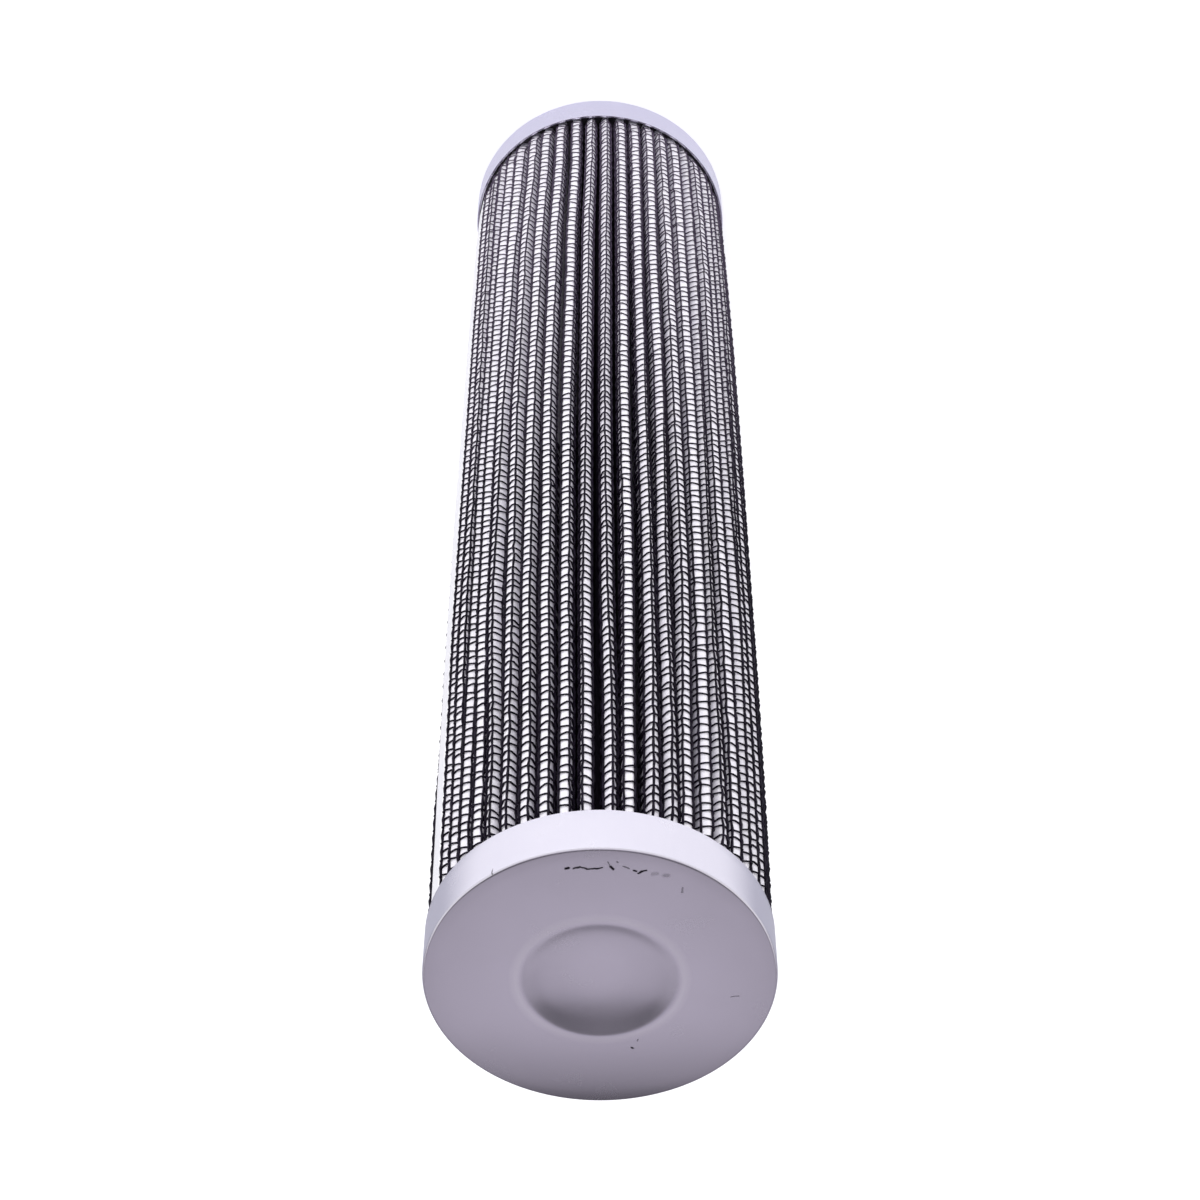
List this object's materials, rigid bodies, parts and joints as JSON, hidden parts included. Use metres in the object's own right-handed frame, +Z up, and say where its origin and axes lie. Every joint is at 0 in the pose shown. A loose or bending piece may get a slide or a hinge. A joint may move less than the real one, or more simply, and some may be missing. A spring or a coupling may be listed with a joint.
{
  "type": "hydraulic filter element",
  "caption": "Pleated wire-mesh hydraulic filter element with a dished closed end cap, an open end cap with a sealed outlet bore, and a slotted core.",
  "frame": {"origin": "middle of the open end's flat face, which the element stands on", "axes": "+Z up the axis to the closed, dished end; the side seam stands 14.6 degrees from +X towards -Y"},
  "size_m": [0.052, 0.052, 0.229],
  "materials": {
    "cap_steel": "satin",
    "collar_steel": "satin",
    "core_steel": "satin",
    "black_mesh": "satin",
    "inner_mesh": "satin",
    "white_media": "matte",
    "adhesive": "matte",
    "seal_rubber": "matte",
    "seam_plastic": "satin"
  },
  "bodies": {
    "root": {"closed_end_cap": "cap_steel", "open_end_cap": "cap_steel", "outlet_collar": "collar_steel", "seal_ring": "seal_rubber", "open_end_potting": "adhesive", "closed_end_potting": "adhesive", "core_tube": "core_steel", "outer_wire_mesh": "black_mesh", "filter_media": "white_media", "inner_wire_mesh": "inner_mesh", "seam_strip": "seam_plastic"}
  },
  "joints": []
}
